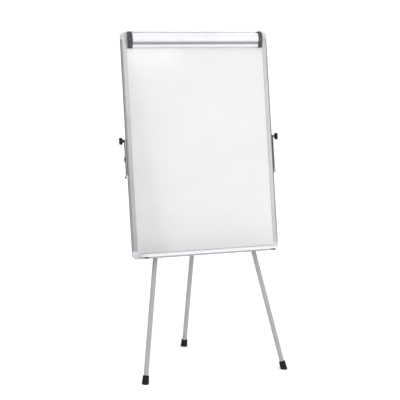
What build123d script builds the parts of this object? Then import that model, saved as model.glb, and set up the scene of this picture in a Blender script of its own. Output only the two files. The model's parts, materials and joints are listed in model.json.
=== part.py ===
from build123d import *
import os
from math import cos, radians, sin

os.makedirs("parts", exist_ok=True)

# A tripod flipchart easel. Every board part is placed by three distances from the middle of the
# board's front face: across, up the board, and out of the board. The board leans back.

# ---- driving dimensions, millimetres and degrees ----
board_width = 700.0
board_height = 1000.0
board_lean = 14.0
board_middle_height = 1004.0
board_middle_back = 27.3  # puts the middle of the whole easel over the origin

# frame and panel
rail_thick = 17.0
rail_face = 25.0
rail_wall = 1.6
slot_reach = 10.0  # from the rail's outer edge to the panel's edge
corner_size = 34.0
corner_round = 22.0
edge_round = 7.4
tongue_length = 18.0
tongue_gap = 0.1
sheet_thick = 0.4

# screws: head radius, head height and shank radius
small_screw = (3.6, 2.0, 1.9)
large_screw = (4.6, 2.8, 2.5)
clamp_reach = 9.0  # how far each kind of screw goes in
tray_reach = 9.0
corner_reach = 7.0
bumper_reach = 6.0
lower_saddle_reach = 12.0
upper_saddle_reach = 11.0
bracket_reach = 12.0
corner_screw_inset = 15.0

# legs
leg_across = 236.0  # front leg axis at the board's lower edge
leg_behind = 31.0
leg_splay = 0.176  # sideways, for each unit down the board
leg_rake = 0.096  # forwards, for each unit down the board
outer_radius = 12.5
inner_radius = 11.0
tube_wall = 1.2
running_gap = 0.05
front_tube_low = -440.0
front_tube_high = 430.0
front_inner_length = 890.0
rear_pin_up = -150.0
rear_pin_behind = 55.4
rear_leg_angle = 22.55  # behind the board's plane
rear_tube_length = 314.0
rear_inner_gap = 120.0
head_drop = 30.0  # from the rear hinge pin to the top of its tube
bush_head = 18.0
bush_plug = 15.0
bush_bore = 5.0
cap_plug = 12.0
cap_bore = 8.0
cap_rim = 0.4
cap_tall = 4.0

foot_radius = 15.6
foot_height = 36.0
foot_skirt = 3.0
foot_taper = 1.5
foot_lip = 2.0
foot_sole = 12.0

# collars and knobs
collar_radius = 16.0
collar_skirt = 24.0
collar_grip = 16.0
collar_edge = 1.5
boss_radius = 8.0
boss_reach = 23.0
stud_radius = 3.0
neck_radius = 6.4
arm_wing = (9.5, 31.0, 12.0, 14.5)  # neck length, wing height, thickness and depth
leg_wing = (4.0, 30.0, 11.0, 12.0)
arm_knob_bore = 14.0

# mounting of the legs
upper_saddle_up = 400.0
lower_saddle_up = -385.0
saddle_tall = 40.0
saddle_ring = 17.0
saddle_flange = 4.0
saddle_ear = 27.0
ear_margin = 9.0
bracket_thick = 2.0
bracket_tall = 60.0
bracket_half = 172.0
bracket_step = 146.0
bracket_web = 122.0
bracket_web_behind = 101.0
bracket_bend = 5.0
bracket_screw_across = 158.0
bracket_screw_up = 14.0
nut_radius = 4.6
nut_thick = 3.5

# cross bar and rear hinge
cross_bar_up = -122.0
cross_bar_radius = 10.0
cross_bar_wall = 1.5
ear_gap = 13.5
ear_thick = 3.0
ear_rim = 4.0
pin_radius = 4.0
pin_head = 2.6
pin_head_thick = 2.4
stop_radius = 2.5
stop_down = 20.0
head_plug = 20.0
head_bore = 7.0
head_gap = 8.0

# paper clamp
clamp_half = 319.0
clamp_cap_wide = 19.0
clamp_low = 426.0
clamp_high = 498.5
clamp_base_thick = 2.0
clamp_wall_out = 10.0
clamp_screw_up = 480.5
clamp_screw_across = (-250, -85, 85, 250)
rib_wide = 2.0
rib_places = (1.2, 16.0)
hinge_up = 488.5
hinge_out = 8.5
hinge_pin_radius = 2.0
hinge_pin_length = 38.0
hinge_pin_seat = 3.0
knuckle_radius = 4.5
spring_room = 14.0
spring_wire = 0.6
spring_radius = 3.3
spring_pitch = 1.6
spring_length = 9.6
skin_thick = 1.8
bar_gap = 0.3
hook_across = 140.0
hook_up = 464.0
hook_wide = 26.0
hook_thick = 1.6
hook_pin_radius = 3.0
hook_pin_length = 9.0
track_half = 6.0
track_wall = 1.4
track_gap = 0.1
track_lip = 1.5
track_cover = 1.6  # how far each lip covers the hook's plate

# pen tray
tray_half = 317.0
tray_deep = 88.0
tray_floor_up = -489.0
tray_wall = 1.6
tray_lip = 9.0
tray_round = 16.0
tray_back_inset = 4.0
tray_screw_up = -483.2
tray_screw_across = (-270, -135, 0, 135, 270)
bumper_across = 301.0
bumper_out = 48.0
bumper_wide = 13.0
bumper_deep = 26.0
bumper_tall = 7.0
bumper_round = 3.0

# side arms
arm_up = 20.0
arm_screw_out = -8.5
spacer_length = 2.2
spacer_radius = 7.0
spacer_sink = 4.0
arm_thick = 3.0
arm_wide = 14.0
arm_length = 166.0
arm_top = 8.0
arm_head_wide = 9.0
arm_head_thick = 3.0
peg_radius = 2.5
peg_head_radius = 3.4
peg_head_long = 4.0
peg_inset = 7.0
peg_reach = 7.0
catch_long = 17.0
catch_wall = 1.0
catch_front = 3.0
tab_down = 80.0
tab_radius = 13.0
small_round = 1.0

# ---- the board's own directions ----
half_width = board_width / 2
half_height = board_height / 2
across = Vector(1, 0, 0)
board_up = Vector(0, sin(radians(board_lean)), cos(radians(board_lean)))
board_out = Vector(0, -cos(radians(board_lean)), sin(radians(board_lean)))
board_middle = Vector(0, board_middle_back, board_middle_height)
panel_half = half_width - slot_reach, half_height - slot_reach
panel_back = -(rail_thick - rail_wall)
hands = ((-1, "left"), (1, "right"))


def spot(x, up, out):
    """The point at these distances across, up and out of the board."""
    return board_middle + across * x + board_up * up + board_out * out


def face_plane(x, up, out, facing=1):
    """A plane parallel to the board, facing out of its front (1) or its back (-1)."""
    return Plane(origin=spot(x, up, out), x_dir=across, z_dir=board_out * facing)


def shelf_plane(x, up, out, facing=1):
    """A plane square to the board, facing up it (1) or down it (-1)."""
    return Plane(origin=spot(x, up, out), x_dir=across, z_dir=board_up * facing)


def side_plane(x, up=0.0, out=0.0):
    """A plane across the easel: sketch x runs up the board and sketch y runs out of it."""
    return Plane(origin=spot(x, up, out), x_dir=board_up, z_dir=across)


def floor_point(start, down):
    """Where the line from start reaches the floor."""
    return start + down * (start.Z / -down.Z)


# ---- leg axes ----
rear_pin = spot(0, rear_pin_up, -rear_pin_behind)


def front_leg_axis(side):
    """The foot point on the floor and the direction up one front leg."""
    up = (across * (-side * leg_splay) + board_up - board_out * leg_rake).normalized()
    return floor_point(spot(side * leg_across, -half_height, -leg_behind), -up), up


def rear_leg_axis():
    """The foot point on the floor and the direction up the rear leg."""
    angle = radians(rear_leg_angle)
    up = board_up * cos(angle) + board_out * sin(angle)
    return floor_point(rear_pin, -up), up


def along_front_leg(foot, up, up_board):
    """Distance from the foot point to where the axis passes this height on the board."""
    return (up_board - (foot - board_middle).dot(board_up)) / up.dot(board_up)


def leg_middle(side, up_board):
    """Where a front leg's axis passes this height on the board: across and out."""
    below = up_board + half_height
    return side * (leg_across - leg_splay * below), -leg_behind - leg_rake * below


def leg_plane(foot, up, along):
    """A plane square to a leg; its sketch x points out of the back of the board."""
    back = (-board_out - up * (-board_out).dot(up)).normalized()
    return Plane(origin=foot + up * along, x_dir=back, z_dir=up)


def turning_plane(foot, up):
    """A plane through a leg's axis: sketch x is the radius and sketch y the distance up it."""
    square = leg_plane(foot, up, 0)
    return Plane(origin=foot, x_dir=square.x_dir, z_dir=square.x_dir.cross(up))


# ---- saving ----
def save(piece, name):
    """Label one finished piece and write its file."""
    piece.label = name
    export_step(piece, f"parts/{name}.step")


def save_group(pieces, name):
    """Save alike pieces as separate solids in one file."""
    with BuildPart() as group:
        for piece in pieces:
            add(piece)
    save(group.part, name)


# ---- shapes that several pieces share ----
def tube(foot, up, low, high, outside, inside):
    """A straight tube about a leg axis, between two distances from the foot point."""
    with BuildPart() as made:
        with BuildSketch(leg_plane(foot, up, low)):
            Circle(outside)
            Circle(inside, mode=Mode.SUBTRACT)
        extrude(amount=high - low)
    return made.part


def outermost_edges(part, start, way):
    """The edges of the part's last face in this direction."""
    return part.faces().sort_by(Axis(start, way))[-1].edges()


def wing_knob(seat, wing_way, out_way, sizes):
    """A knob with a round neck and a crowned wing; out_way points away from its seat."""
    neck, wing_tall, wing_thick, wing_deep = sizes
    base = Plane(origin=seat, x_dir=wing_way, z_dir=out_way)
    end_round = wing_thick * 0.48
    crown_round = wing_thick * 0.36
    with BuildPart() as knob:
        with BuildSketch(base):
            Circle(neck_radius)
        extrude(amount=neck + wing_deep / 2)
        with BuildSketch(base.offset(neck)):
            RectangleRounded(wing_tall, wing_thick, end_round)
        extrude(amount=wing_deep)
        fillet(outermost_edges(knob, seat, out_way), crown_round)
    return knob.part


def make_screw(size, reach):
    """A pan-head screw standing on the origin, with a cross recess."""
    head, rise, shank = size
    rim = rise * 0.4
    shoulder = (head * 0.74, rise * 0.85)
    slot_long = head * 1.1
    slot_wide = head * 0.3
    with BuildPart() as screw:
        with BuildSketch(Plane.XZ):
            with BuildLine():
                Polyline((0, rise), (0, -reach), (shank, -reach), (shank, 0), (head, 0), (head, rim))
                ThreePointArc((head, rim), shoulder, (0, rise))
            make_face()
        revolve(axis=Axis.Z)
        with BuildSketch(Plane.XY.offset(rise)):
            Rectangle(slot_long, slot_wide)
            Rectangle(slot_wide, slot_long)
        extrude(amount=-rise / 2, mode=Mode.SUBTRACT)
    return screw.part


def screw_group(planes, size, reach):
    """One screw on each plane, as separate solids in one piece."""
    screw = make_screw(size, reach)
    with BuildPart() as group:
        for plane in planes:
            add(screw.moved(plane.location))
    return group.part


# ---- screws ----
clamp_screw_places = [face_plane(x, clamp_screw_up, clamp_base_thick) for x in clamp_screw_across]
tray_screw_places = [face_plane(x, tray_screw_up, tray_wall) for x in tray_screw_across]
corner_across = half_width - corner_screw_inset
corner_up = half_height - corner_screw_inset
corner_screw_places = [
    face_plane(sx * corner_across, sy * corner_up, -rail_thick, -1)
    for sx in (-1, 1)
    for sy in (-1, 1)
]
bumper_screw_places = [
    shelf_plane(side * bumper_across, tray_floor_up + tray_wall, bumper_out) for side, hand in hands
]
bracket_screw_places = [
    face_plane(sx * bracket_screw_across, upper_saddle_up + dy, panel_back - bracket_thick, -1)
    for sx in (-1, 1)
    for dy in (-bracket_screw_up, bracket_screw_up)
]


def saddle_screw_places(up_board, seat_out):
    """The screw planes of the left and right saddles at one height."""
    middles = [leg_middle(side, up_board)[0] for side, hand in hands]
    return [
        face_plane(middle + ear, up_board, seat_out - saddle_flange, -1)
        for middle in middles
        for ear in (-saddle_ear, saddle_ear)
    ]


lower_saddle_places = saddle_screw_places(lower_saddle_up, panel_back)
upper_saddle_places = saddle_screw_places(upper_saddle_up, -bracket_web_behind)

clamp_screws = screw_group(clamp_screw_places, small_screw, clamp_reach)
tray_screws = screw_group(tray_screw_places, small_screw, tray_reach)
corner_screws = screw_group(corner_screw_places, small_screw, corner_reach)
bumper_screws = screw_group(bumper_screw_places, small_screw, bumper_reach)
lower_saddle_screws = screw_group(lower_saddle_places, large_screw, lower_saddle_reach)
upper_saddle_screws = screw_group(upper_saddle_places, large_screw, upper_saddle_reach)
hat_screws = screw_group(bracket_screw_places, large_screw, bracket_reach)
save_group((clamp_screws, tray_screws, corner_screws, bumper_screws), "panel_screws")
save_group((lower_saddle_screws, upper_saddle_screws, hat_screws), "bracket_screws")


# ---- the panel: a writing sheet, a core and a back sheet ----
def make_panel_layer(name, front, thick, screws):
    """One flat layer of the panel, drilled for the screws that pass through it."""
    with BuildPart() as layer:
        with BuildSketch(face_plane(0, 0, front)):
            Rectangle(2 * panel_half[0], 2 * panel_half[1])
        extrude(amount=-thick)
        for group in screws:
            add(group, mode=Mode.SUBTRACT)
    save(layer.part, name)


core_thick = rail_thick - 2 * rail_wall - 2 * sheet_thick
front_screws = (clamp_screws, tray_screws, corner_screws)
back_screws = (lower_saddle_screws, hat_screws)
make_panel_layer("writing_sheet", -rail_wall, sheet_thick, front_screws)
make_panel_layer("board_core", -rail_wall - sheet_thick, core_thick, front_screws + back_screws)
make_panel_layer("back_sheet", panel_back + sheet_thick, sheet_thick, back_screws + (corner_screws,))


# ---- frame rails: a bullnose section with a slot for the panel's edge ----
def make_rail(name, middle, inward, length, cuts=(), side_hole_up=None):
    """One rail; inward points from its outer edge to the middle of the board."""
    half = rail_thick / 2
    hollow = half - rail_wall
    with BuildPart() as rail:
        with BuildSketch(Plane(origin=middle, x_dir=inward, z_dir=inward.cross(board_out))):
            with BuildLine():
                Polyline(
                    (half, 0),
                    (rail_face, 0),
                    (rail_face, -rail_wall),
                    (slot_reach, -rail_wall),
                    (slot_reach, rail_wall - rail_thick),
                    (rail_face, rail_wall - rail_thick),
                    (rail_face, -rail_thick),
                    (half, -rail_thick),
                )
                ThreePointArc((half, -rail_thick), (0, -half), (half, 0))
            make_face()
            with BuildLine():
                ThreePointArc((half, -half - hollow), (half - hollow, -half), (half, -half + hollow))
                Line((half, -half + hollow), (half, -half - hollow))
            make_face(mode=Mode.SUBTRACT)
        extrude(amount=length / 2, both=True)
        if side_hole_up is not None:
            hole_middle = middle + board_up * side_hole_up + board_out * arm_screw_out
            with BuildSketch(Plane(origin=hole_middle, z_dir=inward)):
                Circle(stud_radius)
            extrude(amount=hollow, both=True, mode=Mode.SUBTRACT)
        for cut in cuts:
            add(cut, mode=Mode.SUBTRACT)
    save(rail.part, name)


side_length = board_height - 2 * corner_size
end_length = board_width - 2 * corner_size
make_rail("frame_rail_left", spot(-half_width, 0, 0), across, side_length, side_hole_up=arm_up)
make_rail("frame_rail_right", spot(half_width, 0, 0), -across, side_length, side_hole_up=arm_up)
make_rail("frame_rail_top", spot(0, half_height, 0), -board_up, end_length, cuts=(clamp_screws,))
make_rail("frame_rail_bottom", spot(0, -half_height, 0), board_up, end_length, cuts=(tray_screws,))


# ---- corner caps ----
def outer_corner_edges(cap, flat):
    """The edges round the cap's outside, on its front and its back face."""
    found = []
    for edge in cap.edges():
        middle = flat.to_local_coords(edge).center()
        on_a_face = abs(middle.Z) > rail_thick / 2 - tongue_gap
        outside = min(middle.X, middle.Y) < slot_reach
        joins_a_rail = max(middle.X, middle.Y) > corner_size - tongue_gap
        if on_a_face and outside and not joins_a_rail:
            found.append(edge)
    return found


def make_corner_cap(name, sx, sy):
    """A rounded plastic corner with a tongue into each rail and a slot for the panel."""
    half = rail_thick / 2
    tongue = half - rail_wall - tongue_gap
    in_x = across * -sx
    in_y = board_up * -sy
    corner = spot(sx * half_width, sy * half_height, -half)
    flat = Plane(origin=corner, x_dir=in_x, z_dir=in_x.cross(in_y))
    with BuildPart() as cap:
        with BuildSketch(flat):
            with BuildLine():
                Polyline(
                    (corner_round, 0),
                    (corner_size, 0),
                    (corner_size, corner_size),
                    (0, corner_size),
                    (0, corner_round),
                )
                RadiusArc((0, corner_round), (corner_round, 0), -corner_round)
            make_face()
        extrude(amount=half, both=True)
        fillet(outer_corner_edges(cap, flat), edge_round)
        with BuildSketch(flat):
            with Locations((slot_reach, slot_reach)):
                Rectangle(corner_size, corner_size, align=(Align.MIN, Align.MIN))
        extrude(amount=half - rail_wall, both=True, mode=Mode.SUBTRACT)
        with BuildSketch(flat):
            with Locations((rail_face, rail_face)):
                Rectangle(corner_size, corner_size, align=(Align.MIN, Align.MIN))
        extrude(amount=rail_thick, both=True, mode=Mode.SUBTRACT)
        for run, inward in ((in_x, in_y), (in_y, in_x)):
            root = corner + run * (corner_size - rail_wall)
            with BuildSketch(Plane(origin=root, x_dir=inward, z_dir=run)):
                with BuildLine():
                    ThreePointArc((half, -tongue), (half - tongue, 0), (half, tongue))
                    Line((half, tongue), (half, -tongue))
                make_face()
            extrude(amount=tongue_length + rail_wall)
        add(corner_screws, mode=Mode.SUBTRACT)
    save(cap.part, name)


for sy, level in ((1, "top"), (-1, "bottom")):
    for sx, hand in hands:
        make_corner_cap(f"corner_cap_{level}_{hand}", sx, sy)


# ---- paper clamp: a fixed base, a hinged bar with a soft strip, and two end caps ----
track_tall = hook_thick + track_gap + track_lip
with BuildPart() as clamp_base:
    with BuildSketch(side_plane(0)):
        with BuildLine():
            Polyline(
                (clamp_low, 0),
                (clamp_high, 0),
                (clamp_high, clamp_wall_out),
                (clamp_high - skin_thick, clamp_wall_out),
                (clamp_high - skin_thick, clamp_base_thick),
                (clamp_low, clamp_base_thick),
                close=True,
            )
        make_face()
        for rib in rib_places:
            with Locations((clamp_low + rib, -rail_wall / 2)):
                Rectangle(rib_wide, rail_wall)
        for way in (-1, 1):
            wall_up = hook_up + way * (track_half + track_wall / 2)
            lip_up = hook_up + way * (track_half + (track_wall - track_cover) / 2)
            with Locations((wall_up, clamp_base_thick + track_tall / 2)):
                Rectangle(track_wall, track_tall)
            with Locations((lip_up, clamp_base_thick + track_tall - track_lip / 2)):
                Rectangle(track_wall + track_cover, track_lip)
    extrude(amount=clamp_half - clamp_cap_wide, both=True)
    add(clamp_screws, mode=Mode.SUBTRACT)
save(clamp_base.part, "clamp_base")

# the bar's section, as distances up the board and out of it
bar_top = (hinge_up + 1.6, hinge_out + 3.3)
bar_crown = (474.0, 18.6)
bar_shoulder = (449.0, 15.8)
bar_groove = (443.5, 11.3)
bar_lip = (437.5, 10.2)
bar_lip_crown = (431.6, 9.2)
bar_low = (428.2, 4.6)
clamp_bar_half = clamp_half - clamp_cap_wide - bar_gap
with BuildPart() as clamp_bar:
    with BuildSketch(side_plane(0)):
        with BuildLine():
            ThreePointArc(bar_top, bar_crown, bar_shoulder)
            ThreePointArc(bar_shoulder, bar_groove, bar_lip)
            ThreePointArc(bar_lip, bar_lip_crown, bar_low)
        trace(line_width=skin_thick)
        with Locations((hinge_up, hinge_out)):
            Circle(knuckle_radius)
            Circle(hinge_pin_radius + running_gap, mode=Mode.SUBTRACT)
    extrude(amount=clamp_bar_half, both=True)
    for side, hand in hands:
        with BuildSketch(side_plane(side * clamp_bar_half, hinge_up, hinge_out)):
            Circle(knuckle_radius + bar_gap / 2)
        extrude(amount=-side * spring_room, mode=Mode.SUBTRACT)
save(clamp_bar.part, "clamp_bar")

# the grip strip fills the bar's lip from inside
strip_bottom = (429.5, 5.0)
strip_crest = (432.2, 8.4)
strip_top = (434.4, 7.6)
with BuildPart() as grip_strip:
    with BuildSketch(side_plane(0)):
        with BuildLine():
            Polyline(
                (strip_bottom[0], clamp_base_thick),
                (strip_top[0], clamp_base_thick),
                strip_top,
                strip_crest,
                strip_bottom,
                close=True,
            )
        make_face()
    extrude(amount=clamp_bar_half, both=True)
    add(clamp_bar.part, mode=Mode.SUBTRACT)
save(grip_strip.part, "clamp_grip_strip")

# an end cap stands a little proud of the bar all along its section
cap_low = 425.5
cap_high = 499.5
cap_front = (cap_low, 7.0)
cap_lip_crown = (432.0, 12.8)
cap_lip = (441.0, 14.2)
cap_waist = (445.5, 16.4)
cap_shoulder = (450.0, 18.9)
cap_crown = (473.0, 20.6)
clamp_pins = []
clamp_springs = []
for side, hand in hands:
    with BuildPart() as clamp_pin:
        with BuildSketch(side_plane(side * (clamp_half - hinge_pin_seat), hinge_up, hinge_out)):
            Circle(hinge_pin_radius)
        extrude(amount=-side * hinge_pin_length)
    clamp_pins.append(clamp_pin.part)

    with BuildPart() as clamp_cap:
        with BuildSketch(side_plane(side * (clamp_half - clamp_cap_wide))):
            with BuildLine():
                Polyline((cap_high, hinge_out), (cap_high, 0), (cap_low, 0), cap_front)
                ThreePointArc(cap_front, cap_lip_crown, cap_lip)
                ThreePointArc(cap_lip, cap_waist, cap_shoulder)
                ThreePointArc(cap_shoulder, cap_crown, (cap_high, hinge_out))
            make_face()
        extrude(amount=side * clamp_cap_wide)
        add(clamp_pin.part, mode=Mode.SUBTRACT)
    save(clamp_cap.part, f"clamp_end_cap_{hand}")

    coil = Helix(
        pitch=spring_pitch,
        height=spring_length,
        radius=spring_radius,
        center=spot(side * (clamp_half - clamp_cap_wide - 2 * spring_wire - bar_gap), hinge_up, hinge_out),
        direction=across * -side,
    )
    with BuildPart() as clamp_spring:
        with BuildSketch(Plane(origin=coil @ 0, z_dir=coil % 0)):
            Circle(spring_wire)
        sweep(path=coil)
    clamp_springs.append(clamp_spring.part)

    with BuildPart() as pad_hook:
        with BuildSketch(face_plane(side * hook_across, hook_up, clamp_base_thick)):
            RectangleRounded(hook_wide, 2 * (track_half - running_gap), small_round)
        extrude(amount=hook_thick)
        with BuildSketch(face_plane(side * hook_across, hook_up, clamp_base_thick + hook_thick)):
            Circle(hook_pin_radius)
        extrude(amount=hook_pin_length)
        fillet(outermost_edges(pad_hook, board_middle, board_out), small_round)
    save(pad_hook.part, f"pad_hook_{hand}")
save_group(clamp_pins, "clamp_hinge_pins")
save_group(clamp_springs, "clamp_springs")


# ---- pen tray and the two bumpers under it ----
def tray_outline(inset):
    """The tray's plan, rounded at its two front corners and open towards the board."""
    wide = tray_half - inset
    deep = tray_deep - inset
    corner = tray_round - inset
    with BuildSketch(shelf_plane(0, tray_floor_up, 0)) as plan:
        with BuildLine():
            Polyline((-wide, -deep + corner), (-wide, 0), (wide, 0), (wide, -deep + corner))
            RadiusArc((wide, -deep + corner), (wide - corner, -deep), corner)
            Line((wide - corner, -deep), (-wide + corner, -deep))
            RadiusArc((-wide + corner, -deep), (-wide, -deep + corner), corner)
        make_face()
    return plan.sketch


with BuildPart() as pen_tray:
    extrude(tray_outline(0), amount=tray_lip)
    extrude(tray_outline(tray_wall), amount=tray_lip, mode=Mode.SUBTRACT)
    extrude(tray_outline(tray_wall / 2), amount=tray_wall)
    with BuildSketch(face_plane(0, tray_floor_up, 0)):
        Rectangle(2 * (tray_half - tray_back_inset), tray_lip + tray_wall, align=(Align.CENTER, Align.MIN))
    extrude(amount=tray_wall)
    add(tray_screws, mode=Mode.SUBTRACT)
    add(bumper_screws, mode=Mode.SUBTRACT)
save(pen_tray.part, "pen_tray")

bumpers = []
for side, hand in hands:
    with BuildPart() as bumper:
        with BuildSketch(shelf_plane(side * bumper_across, tray_floor_up, bumper_out, -1)):
            RectangleRounded(bumper_wide, bumper_deep, bumper_round)
        extrude(amount=bumper_tall)
        fillet(outermost_edges(bumper, board_middle, -board_up), bumper_round / 2)
        add(bumper_screws, mode=Mode.SUBTRACT)
    bumpers.append(bumper.part)
save_group(bumpers, "tray_bumpers")

# ---- side arms ----
arm_face = half_width + spacer_length
arm_outside = arm_face + arm_thick
peg_up = arm_up - arm_length + peg_inset
arm_spacers = []
arm_screws = []
for side, hand in hands:
    with BuildPart() as arm_spacer:
        with BuildSketch(side_plane(side * (half_width - spacer_sink), arm_up, arm_screw_out)):
            Circle(spacer_radius)
            Circle(stud_radius, mode=Mode.SUBTRACT)
        extrude(amount=side * (spacer_length + spacer_sink))
        rail_middle = spot(side * (half_width - rail_thick / 2), arm_up, arm_screw_out)
        with BuildSketch(Plane(origin=rail_middle, z_dir=board_up)):
            Circle(rail_thick / 2)
        extrude(amount=2 * spacer_radius, both=True, mode=Mode.SUBTRACT)
    arm_spacers.append(arm_spacer.part)

    head_face = half_width - 2 * rail_wall - small_round / 2
    with BuildPart() as arm_screw:
        with BuildSketch(side_plane(side * head_face, arm_up, arm_screw_out)):
            Rectangle(arm_head_wide, arm_head_wide)
        extrude(amount=-side * arm_head_thick)
        with BuildSketch(side_plane(side * head_face, arm_up, arm_screw_out)):
            Circle(stud_radius)
        extrude(amount=side * (arm_outside + arm_wing[0] - head_face))
    arm_screws.append(arm_screw.part)

    with BuildPart() as side_arm:
        with BuildSketch(side_plane(side * arm_face, arm_up, arm_screw_out)):
            with Locations(((arm_top - arm_length) / 2, 0)):
                SlotOverall(arm_length + arm_top, arm_wide)
            Circle(stud_radius + running_gap, mode=Mode.SUBTRACT)
            with Locations((peg_inset - arm_length, 0)):
                Circle(peg_radius, mode=Mode.SUBTRACT)
        extrude(amount=side * arm_thick)
    save(side_arm.part, f"side_arm_{hand}")

    with BuildPart() as arm_peg:
        with BuildSketch(side_plane(side * (arm_face - catch_wall), peg_up, arm_screw_out)):
            Circle(peg_radius)
        extrude(amount=side * (arm_thick + peg_reach))
        with BuildSketch(side_plane(side * (arm_outside + catch_front), peg_up, arm_screw_out)):
            Circle(peg_head_radius)
        extrude(amount=side * peg_head_long)
        fillet(outermost_edges(arm_peg, board_middle, across * side), small_round)
    save(arm_peg.part, f"arm_peg_{hand}")

    with BuildPart() as arm_catch:
        with BuildSketch(side_plane(side * (arm_face - catch_wall), peg_up, arm_screw_out)):
            RectangleRounded(catch_long, arm_wide + 2 * catch_wall, catch_front)
        extrude(amount=side * (catch_wall + arm_thick + catch_front))
        fillet(outermost_edges(arm_catch, board_middle, across * side), small_round)
        add(side_arm.part, mode=Mode.SUBTRACT)
        add(arm_peg.part, mode=Mode.SUBTRACT)
    save(arm_catch.part, f"arm_catch_{hand}")

    knob = wing_knob(spot(side * arm_outside, arm_up, arm_screw_out), board_up, across * side, arm_wing)
    with BuildPart() as arm_knob:
        add(knob)
        with BuildSketch(side_plane(side * arm_outside, arm_up, arm_screw_out)):
            Circle(stud_radius + running_gap)
        extrude(amount=side * arm_knob_bore, mode=Mode.SUBTRACT)
    save(arm_knob.part, f"arm_knob_{hand}")
save_group(arm_spacers, "arm_spacers")
save_group(arm_screws, "arm_screws")

with BuildPart() as arm_tab:
    with BuildSketch(side_plane(-arm_face, arm_up - tab_down, arm_screw_out - arm_wide / 2)):
        Circle(tab_radius)
        with Locations((0, tab_radius)):
            Rectangle(2 * tab_radius, 2 * tab_radius, mode=Mode.SUBTRACT)
    extrude(amount=-arm_thick)
    fillet(arm_tab.edges().filter_by(GeomType.CIRCLE), small_round)
save(arm_tab.part, "arm_thumb_tab")


# ---- legs ----
def make_collar(foot, up, tube_low, boss_plane):
    """The clamping collar: it grips the outer tube, and its boss carries the lock knob."""
    with BuildPart() as collar:
        with BuildSketch(leg_plane(foot, up, tube_low - collar_skirt)):
            Circle(collar_radius)
        extrude(amount=collar_skirt + collar_grip)
        fillet(collar.edges(), collar_edge)
        with BuildSketch(boss_plane):
            Circle(boss_radius)
        extrude(amount=boss_reach)
        with BuildSketch(leg_plane(foot, up, tube_low)):
            Circle(outer_radius)
        extrude(amount=2 * collar_grip, mode=Mode.SUBTRACT)
        with BuildSketch(leg_plane(foot, up, tube_low - 2 * collar_skirt)):
            Circle(inner_radius + running_gap)
        extrude(amount=3 * collar_skirt, mode=Mode.SUBTRACT)
        with BuildSketch(boss_plane):
            Circle(stud_radius + running_gap)
        extrude(amount=2 * boss_reach, mode=Mode.SUBTRACT)
    return collar.part


def make_foot(foot, up):
    """A rubber foot on the end of the inner tube, cut level with the floor."""
    below = foot_radius / 2
    top_radius = foot_radius - foot_taper
    rim_radius = top_radius - foot_lip
    with BuildPart() as rubber_foot:
        with BuildSketch(turning_plane(foot, up)):
            with BuildLine():
                Polyline(
                    (0, -below),
                    (foot_radius, -below),
                    (foot_radius, foot_skirt),
                    (top_radius, foot_height - foot_lip),
                )
                RadiusArc((top_radius, foot_height - foot_lip), (rim_radius, foot_height), -foot_lip)
                Polyline(
                    (rim_radius, foot_height),
                    (inner_radius, foot_height),
                    (inner_radius, foot_sole),
                    (0, foot_sole),
                    (0, -below),
                )
            make_face()
        revolve(axis=Axis(foot, up))
        split(bisect_by=Plane.XY, keep=Keep.TOP)
    return rubber_foot.part


def make_leg(name, foot, up, tube_low, tube_high, inner_high):
    """Save one telescoping leg's tubes, bush, lock knob and foot, and return its collar."""
    bore = outer_radius - tube_wall
    inner_bore = inner_radius - tube_wall
    save(tube(foot, up, tube_low, tube_high, outer_radius, bore), f"{name}_tube")
    save(tube(foot, up, foot_sole, inner_high, inner_radius, inner_bore), f"{name}_inner")
    with BuildPart() as bush:
        add(tube(foot, up, inner_high, inner_high + bush_head, bore - running_gap, bush_bore))
        add(tube(foot, up, inner_high - bush_plug, inner_high, inner_bore, bush_bore))
    save(bush.part, f"{name}_bush")

    boss = leg_plane(foot, up, tube_low - collar_skirt / 2)
    boss_plane = Plane(origin=boss.origin, x_dir=up, z_dir=boss.x_dir)
    with BuildPart() as lock_knob:
        add(wing_knob(boss.origin + boss.x_dir * boss_reach, up, boss.x_dir, leg_wing))
        with BuildSketch(boss_plane.offset(inner_radius + running_gap)):
            Circle(stud_radius)
        extrude(amount=boss_reach - inner_radius)
    save(lock_knob.part, f"{name}_lock_knob")
    save(make_foot(foot, up), f"{name}_foot")
    return make_collar(foot, up, tube_low, boss_plane)


front_collars = []
tube_caps = []
for side, hand in hands:
    foot, up = front_leg_axis(side)
    low = along_front_leg(foot, up, front_tube_low)
    high = along_front_leg(foot, up, front_tube_high)
    front_collars.append(make_leg(f"leg_{hand}", foot, up, low, high, front_inner_length))
    with BuildPart() as tube_cap:
        add(tube(foot, up, high - cap_plug, high, outer_radius - tube_wall, cap_bore))
        with BuildSketch(leg_plane(foot, up, high)):
            Circle(outer_radius + cap_rim)
        extrude(amount=cap_tall)
        fillet(outermost_edges(tube_cap, foot, up), cap_tall / 2 - tongue_gap)
    tube_caps.append(tube_cap.part)
save_group(front_collars, "front_collars")
save_group(tube_caps, "leg_top_caps")

rear_foot, rear_up = rear_leg_axis()
rear_reach = (rear_pin - rear_foot).length
rear_tube_high = rear_reach - head_drop
rear_tube_low = rear_tube_high - rear_tube_length
rear_collar = make_leg(
    "rear_leg", rear_foot, rear_up, rear_tube_low, rear_tube_high, rear_reach - rear_inner_gap
)
save(rear_collar, "rear_collar")


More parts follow.
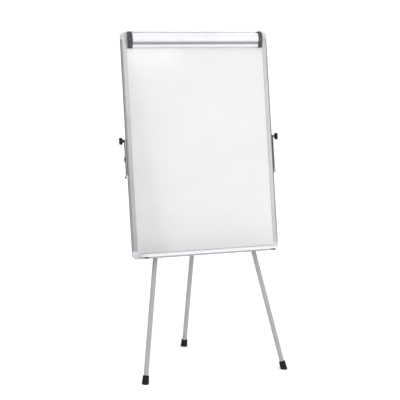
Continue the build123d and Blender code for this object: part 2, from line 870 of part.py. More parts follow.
# ---- saddles that hold the front legs, and the hat bracket behind the board's top ----
def make_saddle(side, up_board, base_out):
    """A clamp block: a flange on a flat face with a ring round the leg tube behind it."""
    x, out = leg_middle(side, up_board)
    foot, up = front_leg_axis(side)
    middle = along_front_leg(foot, up, up_board)
    with BuildPart() as saddle:
        with BuildSketch(face_plane(x, up_board, base_out, -1)):
            RectangleRounded(2 * (saddle_ear + ear_margin), saddle_tall, ear_margin * 2 / 3)
        extrude(amount=saddle_flange)
        with BuildSketch(face_plane(x, up_board, base_out, -1)):
            RectangleRounded(2 * saddle_ring, saddle_tall, 2 * small_round)
        extrude(amount=base_out - out)
        with BuildSketch(leg_plane(foot, up, middle - saddle_tall / 2)):
            Circle(saddle_ring)
        extrude(amount=saddle_tall)
        split(bisect_by=face_plane(x, up_board, base_out, -1), keep=Keep.TOP)
        with BuildSketch(leg_plane(foot, up, middle - saddle_tall)):
            Circle(outer_radius)
        extrude(amount=2 * saddle_tall, mode=Mode.SUBTRACT)
        add(lower_saddle_screws, mode=Mode.SUBTRACT)
        add(upper_saddle_screws, mode=Mode.SUBTRACT)
    return saddle.part


saddle_seats = ((lower_saddle_up, panel_back), (upper_saddle_up, -bracket_web_behind))
save_group([make_saddle(side, *seat) for side, hand in hands for seat in saddle_seats], "leg_saddles")

flange_out = panel_back - bracket_thick / 2
web_out = -bracket_web_behind + bracket_thick / 2
with BuildPart() as top_bracket:
    with BuildSketch(shelf_plane(0, upper_saddle_up, 0, -1)):
        with BuildLine():
            FilletPolyline(
                (-bracket_half, flange_out),
                (-bracket_step, flange_out),
                (-bracket_web, web_out),
                (bracket_web, web_out),
                (bracket_step, flange_out),
                (bracket_half, flange_out),
                radius=bracket_bend,
            )
        trace(line_width=bracket_thick)
    extrude(amount=bracket_tall / 2, both=True)
    add(hat_screws, mode=Mode.SUBTRACT)
    add(upper_saddle_screws, mode=Mode.SUBTRACT)
save(top_bracket.part, "top_bracket")

nut_seat = -bracket_web_behind + bracket_thick
with BuildPart() as saddle_nuts:
    for side, hand in hands:
        for ear in (-saddle_ear, saddle_ear):
            nut_across = leg_middle(side, upper_saddle_up)[0] + ear
            with BuildSketch(face_plane(nut_across, upper_saddle_up, nut_seat)):
                RegularPolygon(nut_radius, 6)
                Circle(large_screw[2], mode=Mode.SUBTRACT)
            extrude(amount=nut_thick)
save(saddle_nuts.part, "bracket_nuts")

# ---- cross bar and rear hinge ----
bar_x, bar_out = leg_middle(1, cross_bar_up)
with BuildPart() as cross_bar:
    with BuildSketch(side_plane(0, cross_bar_up, bar_out)):
        Circle(cross_bar_radius)
        Circle(cross_bar_radius - cross_bar_wall, mode=Mode.SUBTRACT)
    extrude(amount=bar_x, both=True)
    for side, hand in hands:
        foot, up = front_leg_axis(side)
        middle = along_front_leg(foot, up, cross_bar_up)
        with BuildSketch(leg_plane(foot, up, middle)):
            Circle(outer_radius)
        extrude(amount=2 * outer_radius, both=True, mode=Mode.SUBTRACT)
save(cross_bar.part, "cross_bar")

# the stop pin lies against the back of the rear leg's head when the leg is open
ear_outside = ear_gap + ear_thick
rear_square = leg_plane(rear_foot, rear_up, rear_reach - stop_down)
stop_point = rear_square.origin + rear_square.x_dir * (outer_radius + stop_radius)
stop_up = (stop_point - board_middle).dot(board_up)
stop_out = (stop_point - board_middle).dot(board_out)
with BuildPart() as stop_pin:
    with BuildSketch(side_plane(0, stop_up, stop_out)):
        Circle(stop_radius)
    extrude(amount=ear_outside + small_round, both=True)

with BuildPart() as hinge_pin:
    with BuildSketch(side_plane(0, rear_pin_up, -rear_pin_behind)):
        Circle(pin_radius)
    extrude(amount=ear_outside, both=True)
    for side, hand in hands:
        with BuildSketch(side_plane(side * ear_outside, rear_pin_up, -rear_pin_behind)):
            Circle(pin_radius + pin_head)
        extrude(amount=side * pin_head_thick)
        fillet(outermost_edges(hinge_pin, board_middle, across * side), small_round)
save_group((hinge_pin.part, stop_pin.part), "rear_hinge_pins")

with BuildPart() as hinge_bracket:
    for side, hand in hands:
        with BuildSketch(side_plane(side * ear_gap)):
            with Locations((cross_bar_up, bar_out)):
                Circle(cross_bar_radius + ear_rim)
            with Locations((rear_pin_up, -rear_pin_behind)):
                Circle(pin_radius + ear_rim + small_round)
            with Locations((stop_up, stop_out)):
                Circle(stop_radius + ear_rim)
            make_hull()
        extrude(amount=side * ear_thick)
    with BuildSketch(side_plane(0, cross_bar_up, bar_out)):
        Circle(cross_bar_radius + ear_rim)
    extrude(amount=ear_gap, both=True)
    with BuildSketch(side_plane(0, cross_bar_up, bar_out)):
        Circle(cross_bar_radius)
    extrude(amount=2 * ear_outside, both=True, mode=Mode.SUBTRACT)
    add(hinge_pin.part, mode=Mode.SUBTRACT)
    add(stop_pin.part, mode=Mode.SUBTRACT)
save(hinge_bracket.part, "rear_hinge_bracket")

plug_low = rear_tube_high - head_plug
with BuildPart() as leg_head:
    with BuildSketch(side_plane(0, rear_pin_up, -rear_pin_behind)):
        Circle(pin_radius + ear_rim + small_round)
    extrude(amount=ear_gap - running_gap, both=True)
    with BuildSketch(leg_plane(rear_foot, rear_up, rear_tube_high)):
        Circle(outer_radius)
    extrude(amount=head_drop - head_gap)
    add(tube(rear_foot, rear_up, plug_low, rear_tube_high, outer_radius - tube_wall, head_bore))
    with BuildSketch(side_plane(0, rear_pin_up, -rear_pin_behind)):
        Circle(pin_radius + running_gap)
    extrude(amount=ear_outside, both=True, mode=Mode.SUBTRACT)
save(leg_head.part, "rear_leg_head")
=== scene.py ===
import json
import math

import bmesh
import bpy
from mathutils import Matrix, Vector


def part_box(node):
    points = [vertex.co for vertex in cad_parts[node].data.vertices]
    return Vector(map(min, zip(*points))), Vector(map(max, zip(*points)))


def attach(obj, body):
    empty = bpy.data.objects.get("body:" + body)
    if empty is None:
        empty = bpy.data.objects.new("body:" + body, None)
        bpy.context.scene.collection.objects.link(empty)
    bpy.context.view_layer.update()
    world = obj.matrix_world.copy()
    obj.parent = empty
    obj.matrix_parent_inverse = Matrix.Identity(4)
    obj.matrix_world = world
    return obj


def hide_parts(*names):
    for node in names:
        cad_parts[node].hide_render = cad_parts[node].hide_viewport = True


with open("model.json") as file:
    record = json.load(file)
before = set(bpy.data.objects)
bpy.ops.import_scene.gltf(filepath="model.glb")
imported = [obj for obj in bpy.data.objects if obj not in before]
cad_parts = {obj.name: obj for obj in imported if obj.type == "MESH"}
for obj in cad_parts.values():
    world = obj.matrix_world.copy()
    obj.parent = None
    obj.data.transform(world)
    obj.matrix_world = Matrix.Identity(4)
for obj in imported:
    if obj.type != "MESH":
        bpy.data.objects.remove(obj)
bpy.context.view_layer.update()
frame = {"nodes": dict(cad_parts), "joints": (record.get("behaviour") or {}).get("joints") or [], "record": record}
nodes = frame["nodes"]
mounts = {m["name"]: m for m in frame["record"]["mounts"]}
joints = {j["name"]: j for j in frame["joints"]}
slot_of = {entry["node"]: entry["material_slot"] for entry in frame["record"]["subparts"]}
bodies = frame["record"]["behaviour"]["bodies"]
body_of = {node: body for body, members in bodies.items() for node in members}
HANDS = ("left", "right")
MM = 0.001

# ---- the board's own directions, from the pad pins that stand square to it ----
ACROSS = Vector((1, 0, 0))
BOARD_OUT = Vector(mounts["pad_pin_left"]["axis"]).normalized()
BOARD_UP = BOARD_OUT.cross(ACROSS).normalized()
LEAN = math.atan2(BOARD_UP.y, BOARD_UP.z)
UPRIGHT = (LEAN, 0, 0)  # the turn that brings the board's up to Z in a material


def along_board_up(node):
    """The lowest and highest reach of a CAD node up the board."""
    heights = [BOARD_UP.dot(vertex.co) for vertex in nodes[node].data.vertices]
    return min(heights), max(heights)


# ---- procedural materials ----
GRAIN_FINE = 900  # grain lines per metre, across the way a profile was drawn
GRAIN_LONG = 6  # and along it
GRAIN_DEPTH = 0.1 * MM
GREY_START, GREY_END = 0.3, 0.7  # the part of a noise's greys that is spread over a range
WIPE_STRETCH = (2.2, 1, 5.0)
WIPE_SLANT = 0.35
DUST_HEIGHT = 12 * MM

# the painted shade along the clamp cover's groove: share of the cover's height, and how much of its white is left
GROOVE_PAINTED_SHADE = ((0.15, 1.0), (0.21, 0.5), (0.26, 0.33), (0.32, 0.36), (0.37, 0.65), (0.43, 1.0))


class Shader:
    """One node material with short calls for the nodes that the materials below share."""

    def __init__(self, name):
        self.material = bpy.data.materials.new(name)
        self.material.use_nodes = True
        self.tree = self.material.node_tree
        self.base = self.tree.nodes["Principled BSDF"]

    def node(self, kind, **values):
        made = self.tree.nodes.new(kind)
        for key, value in values.items():
            if key in made.inputs.keys():
                made.inputs[key].default_value = value
            else:
                setattr(made, key, value)
        return made

    def link(self, source, target):
        self.tree.links.new(source, target)

    def place(self, scale=(1, 1, 1), turn=(0, 0, 0)):
        """Object coordinates, turned and then scaled."""
        here = self.node("ShaderNodeTexCoord")
        turned = self.node("ShaderNodeMapping", Rotation=turn)
        sized = self.node("ShaderNodeMapping", Scale=scale)
        self.link(here.outputs["Object"], turned.inputs["Vector"])
        self.link(turned.outputs["Vector"], sized.inputs["Vector"])
        return sized.outputs["Vector"]

    def noise(self, vector, scale, detail=3.0, rough=0.55):
        made = self.node("ShaderNodeTexNoise", Scale=scale, Detail=detail, Roughness=rough)
        self.link(vector, made.inputs["Vector"])
        return made.outputs["Fac"]

    def drawn_grain(self, along):
        """Fine lines the way that an extrusion was drawn: "across" the board or "up" it."""
        stretch = {
            "across": (GRAIN_LONG, GRAIN_FINE, GRAIN_FINE),
            "up": (GRAIN_FINE, GRAIN_FINE, GRAIN_LONG),
        }[along]
        return self.noise(self.place(scale=stretch, turn=UPRIGHT), scale=1.0, rough=0.6)

    def share_of_height(self, vector, start, end):
        """How far each point's Z lies on the way from start to end, from 0 to 1."""
        split = self.node("ShaderNodeSeparateXYZ")
        share = self.node("ShaderNodeMapRange")
        share.inputs["From Min"].default_value = start
        share.inputs["From Max"].default_value = end
        self.link(vector, split.inputs["Vector"])
        self.link(split.outputs["Z"], share.inputs["Value"])
        return share.outputs["Result"]

    def ramp(self, value, low, high, start=GREY_START, end=GREY_END):
        """Map a grey value between two colours."""
        made = self.node("ShaderNodeValToRGB")
        made.color_ramp.elements[0].position = start
        made.color_ramp.elements[1].position = end
        made.color_ramp.elements[0].color = (*low, 1)
        made.color_ramp.elements[1].color = (*high, 1)
        self.link(value, made.inputs["Fac"])
        return made.outputs["Color"]

    def span(self, value, low, high):
        """Map a grey value to a range."""
        made = self.node("ShaderNodeMapRange")
        made.inputs["From Min"].default_value = GREY_START
        made.inputs["From Max"].default_value = GREY_END
        made.inputs["To Min"].default_value = low
        made.inputs["To Max"].default_value = high
        self.link(value, made.inputs["Value"])
        return made.outputs["Result"]

    def bump(self, value, strength, distance):
        made = self.node("ShaderNodeBump", Strength=strength, Distance=distance)
        self.link(value, made.inputs["Height"])
        return made.outputs["Normal"]

    def finish(
        self, color, roughness, normal, metallic=0.0, coat=0.0, coat_rough=0.1, specular=0.5
    ):
        self.link(color, self.base.inputs["Base Color"])
        self.link(roughness, self.base.inputs["Roughness"])
        self.link(normal, self.base.inputs["Normal"])
        self.base.inputs["Metallic"].default_value = metallic
        self.base.inputs["Coat Weight"].default_value = coat
        self.base.inputs["Coat Roughness"].default_value = coat_rough
        self.base.inputs["Specular IOR Level"].default_value = specular
        return self.material


def shade(color, amount):
    """A colour made lighter or darker."""
    return tuple(min(1.0, max(0.0, c * (1 + amount))) for c in color)


def whiteboard_lacquer():
    """Gloss white enamel with faint wiped-marker haze and a very fine orange peel."""
    s = Shader("whiteboard_lacquer")
    here = s.place()
    wiped = s.place(scale=WIPE_STRETCH, turn=(LEAN, 0, WIPE_SLANT))
    haze = s.noise(wiped, scale=1.6, detail=4.0, rough=0.6)
    color = s.ramp(haze, (0.585, 0.585, 0.59), (0.615, 0.615, 0.62), start=0.25, end=0.75)
    rough = s.span(s.noise(here, scale=9.0, detail=5.0), low=0.10, high=0.2)
    peel = s.bump(s.noise(here, scale=420.0, detail=2.0), strength=0.05, distance=0.4 * MM)
    return s.finish(color, rough, peel, coat=0.35, coat_rough=0.05)


def brushed_aluminium(name, color, along, rough=(0.24, 0.4), metallic=0.85):
    """Anodised extrusion, drawn along its length."""
    s = Shader(name)
    grain = s.drawn_grain(along)
    patch = s.noise(s.place(), scale=7.0)
    tint = s.ramp(patch, shade(color, -0.04), shade(color, 0.04))
    lines = s.bump(grain, strength=0.12, distance=GRAIN_DEPTH)
    return s.finish(tint, s.span(grain, *rough), lines, metallic=metallic)


def clamp_cover():
    """White anodised cover, darkened along its groove by a soft band of painted shade."""
    s = Shader("clamp_cover")
    grain = s.drawn_grain("across")
    patch = s.ramp(s.noise(s.place(), scale=7.0), (0.68, 0.68, 0.705), (0.74, 0.74, 0.765))
    # painted shade: the cover's white is multiplied down along the groove, where shade falls in its concave fillet
    band = s.node("ShaderNodeValToRGB")
    band.color_ramp.interpolation = "B_SPLINE"
    band.color_ramp.elements[0].color = (1, 1, 1, 1)
    for position, grey in GROOVE_PAINTED_SHADE:
        stop = band.color_ramp.elements.new(position)
        stop.color = (grey, grey, grey, 1)
    low, high = along_board_up("clamp_bar")
    s.link(s.share_of_height(s.place(turn=UPRIGHT), low, high), band.inputs["Fac"])
    tint = s.node("ShaderNodeMix", data_type="RGBA", blend_type="MULTIPLY")
    tint.inputs["Factor"].default_value = 1.0
    s.link(patch, tint.inputs["A"])
    s.link(band.outputs["Color"], tint.inputs["B"])
    lines = s.bump(grain, strength=0.12, distance=GRAIN_DEPTH)
    return s.finish(tint.outputs["Result"], s.span(grain, 0.3, 0.4), lines, metallic=0.2)


def moulded_plastic(name, color, rough=(0.38, 0.55), specular=0.5):
    """Moulded plastic with a fine spark-eroded grain and a little handling gloss."""
    s = Shader(name)
    here = s.place()
    patch = s.noise(here, scale=35.0, detail=4.0)
    tint = s.ramp(patch, shade(color, -0.12), shade(color, 0.15))
    roughness = s.span(s.noise(here, scale=60.0), *rough)
    grain = s.bump(s.noise(here, scale=900.0, detail=2.0), strength=0.35, distance=0.06 * MM)
    return s.finish(tint, roughness, grain, specular=specular)


def lacquer(name, color, rough=(0.28, 0.42), coat=0.15):
    """Sprayed or powder lacquer on metal, with orange peel and faint dulling."""
    s = Shader(name)
    here = s.place()
    patch = s.noise(here, scale=14.0, detail=4.0)
    tint = s.ramp(patch, shade(color, -0.035), shade(color, 0.03))
    roughness = s.span(s.noise(here, scale=40.0, detail=4.0), *rough)
    peel = s.bump(s.noise(here, scale=650.0, detail=2.0), strength=0.18, distance=0.1 * MM)
    return s.finish(tint, roughness, peel, coat=coat)


def plated_steel(name, color, rough=(0.2, 0.38)):
    """Zinc-plated steel with a mottled sheen."""
    s = Shader(name)
    here = s.place()
    mottle = s.noise(here, scale=260.0, detail=4.0)
    tint = s.ramp(mottle, shade(color, -0.12), shade(color, 0.1))
    roughness = s.span(s.noise(here, scale=180.0), *rough)
    grain = s.bump(s.noise(here, scale=1200.0, detail=2.0), strength=0.15, distance=0.05 * MM)
    return s.finish(tint, roughness, grain, metallic=1.0)


def foot_rubber():
    """Matt black rubber, greyed with dust towards the floor."""
    s = Shader("foot_rubber")
    here = s.place()
    dust = s.node("ShaderNodeMath", operation="MULTIPLY")
    s.link(s.share_of_height(here, DUST_HEIGHT, 0.0), dust.inputs[0])
    s.link(s.noise(here, scale=120.0, detail=5.0), dust.inputs[1])
    black, dusty = (0.012, 0.012, 0.0125), (0.06, 0.057, 0.053)
    tint = s.ramp(dust.outputs["Value"], black, dusty, start=0.1, end=0.8)
    roughness = s.span(s.noise(here, scale=90.0), low=0.55, high=0.75)
    grain = s.bump(s.noise(here, scale=1100.0), strength=0.4, distance=0.08 * MM)
    return s.finish(tint, roughness, grain, specular=0.12)


def core_board():
    """The edge of a paper honeycomb core."""
    s = Shader("core_board")
    here = s.place()
    tint = s.ramp(s.noise(here, scale=300.0, detail=5.0), (0.42, 0.33, 0.23), (0.6, 0.5, 0.38))
    roughness = s.span(s.noise(here, scale=80.0), low=0.7, high=0.9)
    cells = s.bump(s.noise(here, scale=700.0), strength=0.5, distance=0.3 * MM)
    return s.finish(tint, roughness, cells)


def frame_aluminium(along):
    """The satin grey of the four frame rails, drawn "across" or "up"."""
    color = (0.37, 0.37, 0.392)
    name = f"frame_aluminium_{along}"
    return brushed_aluminium(name, color, along, rough=(0.26, 0.38), metallic=0.6)


looks = {
    "white_sheet": whiteboard_lacquer(),
    "board_core": core_board(),
    "back_sheet": lacquer("back_sheet_lacquer", (0.52, 0.53, 0.55), rough=(0.4, 0.55), coat=0.0),
    "frame_aluminium": frame_aluminium("up"),
    "grey_plastic": moulded_plastic("light_grey_plastic", (0.56, 0.56, 0.59)),
    "clamp_white": clamp_cover(),
    "clamp_aluminium": brushed_aluminium("clamp_aluminium", (0.5, 0.5, 0.53), "across"),
    "soft_strip": moulded_plastic("soft_strip", (0.2, 0.2, 0.21), rough=(0.55, 0.7)),
    "black_plastic": moulded_plastic(
        "black_plastic", (0.012, 0.012, 0.013), rough=(0.3, 0.42), specular=0.22
    ),
    "tray_white": lacquer("tray_white", (0.74, 0.74, 0.76)),
    "leg_lacquer": lacquer("leg_lacquer", (0.36, 0.363, 0.358)),
    "zinc_steel": plated_steel("zinc_steel", (0.66, 0.66, 0.67)),
    "arm_steel": plated_steel("arm_steel", (0.4, 0.4, 0.41), rough=(0.3, 0.45)),
    "rubber": foot_rubber(),
}
for name, node in nodes.items():
    node.data.materials.clear()
    node.data.materials.append(looks[slot_of[name]])

across_look = frame_aluminium("across")
for level in ("top", "bottom"):
    nodes[f"frame_rail_{level}"].data.materials[0] = across_look

cap_look = moulded_plastic("clamp_cap_plastic", (0.03, 0.03, 0.032), rough=(0.24, 0.34))
for hand in HANDS:
    nodes[f"clamp_end_cap_{hand}"].data.materials[0] = cap_look

# ---- soft edges on the carried-over pieces, in millimetres by the start of a node's name ----
EDGE_SOFTNESS = {
    "clamp_end_cap": 1.1,
    "pen_tray": 0.5,
    "tray_bumpers": 0.5,
    "leg_saddles": 0.9,
    "side_arm": 0.4,
    "arm_catch": 0.6,
    "top_bracket": 0.4,
    "rear_hinge_bracket": 0.5,
    "frame_rail": 0.3,
    "clamp_base": 0.3,
}
BEVEL_SEGMENTS = 3
BEVEL_ANGLE = 40
for name, node in nodes.items():
    for start, softness in EDGE_SOFTNESS.items():
        if name.startswith(start):
            bevel = node.modifiers.new("soft_edges", "BEVEL")
            bevel.width = softness * MM
            bevel.segments = BEVEL_SEGMENTS
            bevel.limit_method = "ANGLE"
            bevel.angle_limit = math.radians(BEVEL_ANGLE)


# ---- moulded pieces: wing knobs and ringed rubber feet ----
RING_POINTS = 56
SHARP_ANGLE = 38
ROUND = 2.0  # the power of a ring that is a plain circle or ellipse
OBLONG = 2.7  # and of a ring with fuller corners
PINCH_REACH = 0.45  # share of a ring's half length that its pinch spreads over

NECK_RADIUS = 6.4 * MM
NECK_GAP = 0.6 * MM
WING_START = 1.2 * NECK_RADIUS  # what reaches further from the axis is wing, not neck
# share of the wing's depth, of its length and of its thickness, and its pinch
WING_PROFILE = (
    (0.0, 0.72, 0.9, 0.0),
    (0.04, 0.9, 0.95, 0.04),
    (0.12, 0.97, 0.98, 0.12),
    (0.3, 1.0, 1.0, 0.2),
    (0.65, 1.0, 0.98, 0.24),
    (0.82, 0.97, 0.9, 0.2),
    (0.92, 0.91, 0.76, 0.14),
    (0.98, 0.82, 0.55, 0.06),
    (1.0, 0.7, 0.36, 0.0),
)

FOOT_RADIUS = 15.6 * MM
FOOT_TOP_RADIUS = 14.1 * MM
FOOT_HEIGHT = 36.0 * MM
FOOT_BORE = 11.1 * MM
FOOT_SOLE = 12.0 * MM
FOOT_BAND = 3 * MM  # the plain band below the first groove
FOOT_UNDER = FOOT_RADIUS / 2  # how far the foot runs on below the floor, before it is cut
FOOT_LIP = 2 * MM
LIP_STEPS = 5
FOOT_GROOVES = (8.0 * MM, 12.5 * MM, 17.0 * MM)
GROOVE_DEEP = 0.9 * MM
GROOVE_HALF = 1.2 * MM
# a groove's outline: share of its half width, and share of its depth
GROOVE_OUTLINE = ((-1, 0), (-0.6, 0.7), (0, 1), (0.6, 0.7), (1, 0))


def moulding(node, rings, cut_at_floor=False):
    """A closed skin over rings of points that stands for a CAD node."""
    mesh = bpy.data.meshes.new(f"{node}_moulding")
    build = bmesh.new()
    loops = [[build.verts.new(point) for point in ring] for ring in rings]
    for low, high in zip(loops, loops[1:]):
        for a, b, c, d in zip(low, low[1:] + low[:1], high[1:] + high[:1], high):
            build.faces.new((a, b, c, d))
    build.faces.new(loops[0][::-1])
    build.faces.new(loops[-1])
    if cut_at_floor:
        everything = build.verts[:] + build.edges[:] + build.faces[:]
        bmesh.ops.bisect_plane(
            build, geom=everything, plane_co=(0, 0, 0), plane_no=(0, 0, 1), clear_inner=True
        )
        rim = [edge for edge in build.edges if edge.is_boundary]
        bmesh.ops.edgeloop_fill(build, edges=rim)
    bmesh.ops.recalc_face_normals(build, faces=build.faces[:])
    build.to_mesh(mesh)
    build.free()
    for face in mesh.polygons:
        face.use_smooth = True
    mesh.set_sharp_from_angle(angle=math.radians(SHARP_ANGLE))
    piece = bpy.data.objects.new(f"{node}_moulding", mesh)
    bpy.context.scene.collection.objects.link(piece)
    mesh.materials.append(looks[slot_of[node]])
    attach(piece, body_of[node])
    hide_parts(node)


def wing_direction(node, seat, axis):
    """The way a wing knob is long, square to its axis."""
    side = axis.orthogonal().normalized()
    other = axis.cross(side)
    spread = twist = 0.0
    for vertex in nodes[node].data.vertices:
        a = (vertex.co - seat).dot(side)
        b = (vertex.co - seat).dot(other)
        spread += a * a - b * b
        twist += 2 * a * b
    turn = math.atan2(twist, spread) / 2
    return side * math.cos(turn) + other * math.sin(turn)


def oval(middle, long_way, thin_way, half_long, half_thin, power=ROUND, waist=0.0):
    """A ring of points: a rounded oblong, pinched at its middle by waist."""
    ring = []
    for step in range(RING_POINTS):
        turn = 2 * math.pi * step / RING_POINTS
        along = math.copysign(abs(math.cos(turn)) ** (2 / power), math.cos(turn))
        over = math.copysign(abs(math.sin(turn)) ** (2 / power), math.sin(turn))
        pinch = 1 - waist * math.exp(-((along / PINCH_REACH) ** 2))
        ring.append(middle + long_way * half_long * along + thin_way * half_thin * over * pinch)
    return ring


def wing_knob(node, joint):
    """A wing knob with a round neck, a pinched grip and a crowned end."""
    seat = Vector(joint["pos_m"])
    axis = Vector(joint["axis"]).normalized()
    long_way = wing_direction(node, seat, axis)
    thin_way = axis.cross(long_way)
    offsets = [vertex.co - seat for vertex in nodes[node].data.vertices]
    start = min(axis.dot(offset) for offset in offsets)
    end = max(axis.dot(offset) for offset in offsets)
    half_long = max(abs(long_way.dot(offset)) for offset in offsets)
    half_thin = max(abs(thin_way.dot(offset)) for offset in offsets)
    neck_end = min(axis.dot(o) for o in offsets if abs(long_way.dot(o)) > WING_START)
    deep = end - neck_end
    rings = []
    for height in (start, (start + neck_end) / 2, neck_end - NECK_GAP):
        middle = seat + axis * height
        rings.append(oval(middle, long_way, thin_way, NECK_RADIUS, NECK_RADIUS))
    for share, long_share, thin_share, waist in WING_PROFILE:
        middle = seat + axis * (neck_end + share * deep)
        sizes = (half_long * long_share, half_thin * thin_share)
        rings.append(oval(middle, long_way, thin_way, *sizes, OBLONG, waist))
    moulding(node, rings)


def foot_profile():
    """Radius and height of a foot's outside and bore, from below the floor round to the sole."""
    points = [
        (FOOT_RADIUS * 0.5, -FOOT_UNDER),
        (FOOT_RADIUS, -FOOT_UNDER),
        (FOOT_RADIUS, FOOT_BAND),
    ]
    taper = (FOOT_RADIUS - FOOT_TOP_RADIUS) / FOOT_HEIGHT
    for groove in FOOT_GROOVES:
        for offset, depth in GROOVE_OUTLINE:
            height = groove + offset * GROOVE_HALF
            points.append((FOOT_RADIUS - taper * height - depth * GROOVE_DEEP, height))
    for step in range(LIP_STEPS + 1):
        turn = math.radians(90) * step / LIP_STEPS
        radius = FOOT_TOP_RADIUS - FOOT_LIP + FOOT_LIP * math.cos(turn)
        points.append((radius, FOOT_HEIGHT - FOOT_LIP + FOOT_LIP * math.sin(turn)))
    points += [(FOOT_BORE, FOOT_HEIGHT), (FOOT_BORE, FOOT_SOLE), (FOOT_BORE * 0.5, FOOT_SOLE)]
    return points


def rubber_foot(leg, joint):
    """A ringed rubber foot round the end of a leg, cut level with the floor."""
    low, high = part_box(f"{leg}_inner")
    up = -Vector(joint["axis"]).normalized()
    middle = (low + high) / 2
    foot = middle - up * (middle.z / up.z)
    side = up.orthogonal().normalized()
    other = up.cross(side)
    rings = [
        oval(foot + up * height, side, other, radius, radius) for radius, height in foot_profile()
    ]
    moulding(f"{leg}_foot", rings, cut_at_floor=True)


for hand in HANDS:
    wing_knob(f"arm_knob_{hand}", joints[f"arm_knob_{hand}_turn"])
    wing_knob(f"leg_{hand}_lock_knob", joints[f"lock_knob_{hand}_turn"])
    rubber_foot(f"leg_{hand}", joints[f"leg_{hand}_extend"])
wing_knob("rear_leg_lock_knob", joints["rear_lock_knob_turn"])
rubber_foot("rear_leg", joints["rear_leg_extend"])

# ---- stage: floor, backdrop, flags, lights and camera ----
FLOOR_REACH = 60.0
FLOOR_MIDDLE = 6.0
BACKDROP_DISTANCE = 55.0
BACKDROP_HEIGHT = 45.0
BACKDROP_STEP = 5

FLAG_DISTANCE = 2.6
FLAG_LOW, FLAG_HIGH = 0.02, 2.4
FLAG_BENDS = 12
FLAG_BLACK = 0.004

LIGHT_AIM = Vector((0, 0, 0.9))
SKY_LOW, SKY_HIGH = 0.12, 1.5  # strength of the sky at the horizon and overhead
SKY_DIM_BELOW, SKY_FULL_ABOVE = 0.15, 0.75

CAMERA_AZIMUTH = -21.25
CAMERA_ELEVATION = 12.54
CAMERA_ROLL = 1.79
CAMERA_DISTANCE = 5.421
CAMERA_AIM = Vector((0, 0.0273, 0.7428))
CAMERA_ASIDE = 0.0024  # how far the aim is moved to the camera's right
CAMERA_LENS = 108.0
CAMERA_SENSOR = 36.0
CAMERA_REACH = 120


def around(azimuth, distance, height):
    """A point round the easel; azimuth 0 is in front of it and 90 on its right."""
    turn = math.radians(azimuth)
    return Vector((distance * math.sin(turn), -distance * math.cos(turn), height))


def strip(name, rows):
    """A smooth sheet through rows of points, linked into the scene."""
    mesh = bpy.data.meshes.new(name)
    build = bmesh.new()
    lines = [[build.verts.new(point) for point in row] for row in rows]
    for low, high in zip(lines, lines[1:]):
        for a, b, c, d in zip(low, low[1:], high[1:], high):
            build.faces.new((a, b, c, d))
    build.to_mesh(mesh)
    build.free()
    for face in mesh.polygons:
        face.use_smooth = True
    sheet = bpy.data.objects.new(name, mesh)
    bpy.context.scene.collection.objects.link(sheet)
    return sheet


def floor():
    """A wide plain white floor."""
    steps = [-FLOOR_REACH, -FLOOR_MIDDLE, FLOOR_MIDDLE, FLOOR_REACH]
    sheet = strip("studio_floor", [[(x, y, 0) for x in steps] for y in steps])
    s = Shader("studio_floor")
    here = s.place()
    tint = s.ramp(s.noise(here, scale=3.0), (0.93, 0.93, 0.93), (0.95, 0.95, 0.95))
    rough = s.span(s.noise(here, scale=20.0), low=0.85, high=0.95)
    grain = s.bump(s.noise(here, scale=300.0), strength=0.05, distance=0.5 * MM)
    sheet.data.materials.append(s.finish(tint, rough, grain, specular=0.0))


def backdrop():
    """A pale ring wall far behind everything, which lights nothing."""
    turns = range(0, 360 + BACKDROP_STEP, BACKDROP_STEP)
    rows = [
        [around(turn, BACKDROP_DISTANCE, height) for turn in turns]
        for height in (0, BACKDROP_HEIGHT)
    ]
    wall = strip("studio_backdrop", rows)
    s = Shader("studio_backdrop")
    haze = s.noise(s.place(), scale=0.05)
    tint = s.ramp(haze, (0.95, 0.95, 0.95), (0.97, 0.97, 0.97))
    s.link(tint, s.base.inputs["Emission Color"])
    s.base.inputs["Emission Strength"].default_value = 1.0
    rough = s.span(haze, low=0.9, high=1.0)
    folds = s.bump(haze, strength=0.05, distance=1 * MM)
    wall.data.materials.append(s.finish(tint, rough, folds, specular=0.0))
    wall.visible_diffuse = False
    wall.visible_glossy = False
    wall.visible_shadow = False


def flag(name, start, end):
    """A curved black card beside the easel, which only its reflections show."""
    turns = [start + (end - start) * step / FLAG_BENDS for step in range(FLAG_BENDS + 1)]
    rows = [[around(turn, FLAG_DISTANCE, z) for turn in turns] for z in (FLAG_LOW, FLAG_HIGH)]
    card = strip(name, rows)
    s = Shader(name)
    weave = s.noise(s.place(), scale=60.0)
    tint = s.ramp(weave, (FLAG_BLACK,) * 3, (FLAG_BLACK * 2,) * 3)
    rough = s.span(weave, low=0.9, high=1.0)
    cloth = s.bump(weave, strength=0.1, distance=1 * MM)
    card.data.materials.append(s.finish(tint, rough, cloth, specular=0.0))
    card.visible_camera = False
    card.visible_diffuse = False
    card.visible_shadow = False


def soft_box(name, azimuth, distance, height, size, power):
    """A rectangular soft box that points at the easel's middle."""
    data = bpy.data.lights.new(name, "AREA")
    data.shape = "RECTANGLE"
    data.size, data.size_y = size
    data.energy = power
    light = bpy.data.objects.new(name, data)
    light.location = around(azimuth, distance, height)
    light.rotation_euler = (LIGHT_AIM - light.location).to_track_quat("-Z", "Y").to_euler()
    bpy.context.scene.collection.objects.link(light)


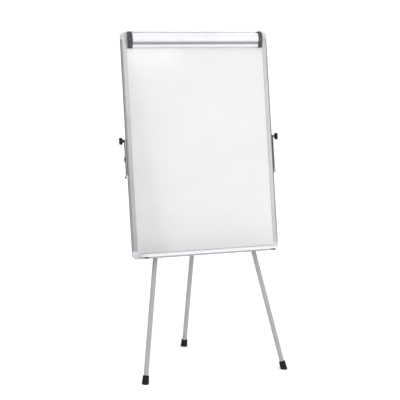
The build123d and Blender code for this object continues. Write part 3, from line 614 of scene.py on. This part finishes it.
def sky():
    """Studio light that is brightest overhead and dim towards the horizon."""
    world = bpy.data.worlds.new("studio")
    world.use_nodes = True
    tree = world.node_tree
    here = tree.nodes.new("ShaderNodeTexCoord")
    split = tree.nodes.new("ShaderNodeSeparateXYZ")
    height = tree.nodes.new("ShaderNodeMapRange")
    height.interpolation_type = "SMOOTHSTEP"
    height.inputs["From Min"].default_value = SKY_DIM_BELOW
    height.inputs["From Max"].default_value = SKY_FULL_ABOVE
    height.inputs["To Min"].default_value = SKY_LOW
    height.inputs["To Max"].default_value = SKY_HIGH
    tree.links.new(here.outputs["Generated"], split.inputs["Vector"])
    tree.links.new(split.outputs["Z"], height.inputs["Value"])
    tree.links.new(height.outputs["Result"], tree.nodes["Background"].inputs["Strength"])
    tree.nodes["Background"].inputs["Color"].default_value = (1, 1, 1, 1)
    bpy.context.scene.world = world


def lights():
    """The sky, four soft boxes and two black flags."""
    sky()
    soft_box("key_box", azimuth=28, distance=4.4, height=2.2, size=(1.8, 2.6), power=46)
    soft_box("top_box", azimuth=15, distance=4.4, height=3.5, size=(0.9, 0.9), power=7)
    soft_box("left_box", azimuth=-52, distance=3.6, height=1.6, size=(1.0, 2.4), power=13)
    soft_box("back_box", azimuth=120, distance=3.4, height=1.6, size=(2.2, 2.6), power=18)
    flag("left_flag", start=-98, end=-204)
    flag("right_flag", start=36, end=84)


def camera():
    """The camera stands left of the easel and a little above its middle."""
    azimuth = math.radians(CAMERA_AZIMUTH)
    elevation = math.radians(CAMERA_ELEVATION)
    roll = math.radians(CAMERA_ROLL)
    out = Vector((
        math.sin(azimuth) * math.cos(elevation),
        -math.cos(azimuth) * math.cos(elevation),
        math.sin(elevation),
    ))
    right = Vector((math.cos(azimuth), math.sin(azimuth), 0))
    above = out.cross(right)
    rolled_right = right * math.cos(roll) + above * math.sin(roll)
    rolled_up = above * math.cos(roll) - right * math.sin(roll)
    aim = CAMERA_AIM + right * CAMERA_ASIDE
    data = bpy.data.cameras.new("camera")
    data.lens = CAMERA_LENS
    data.sensor_width = CAMERA_SENSOR
    data.clip_end = CAMERA_REACH
    eye = bpy.data.objects.new("camera", data)
    turn = Matrix((rolled_right, rolled_up, out)).transposed().to_4x4()
    eye.matrix_world = Matrix.Translation(aim + out * CAMERA_DISTANCE) @ turn
    bpy.context.scene.collection.objects.link(eye)
    bpy.context.scene.camera = eye


floor()
backdrop()
lights()
camera()
bpy.context.scene.view_settings.view_transform = "Standard"
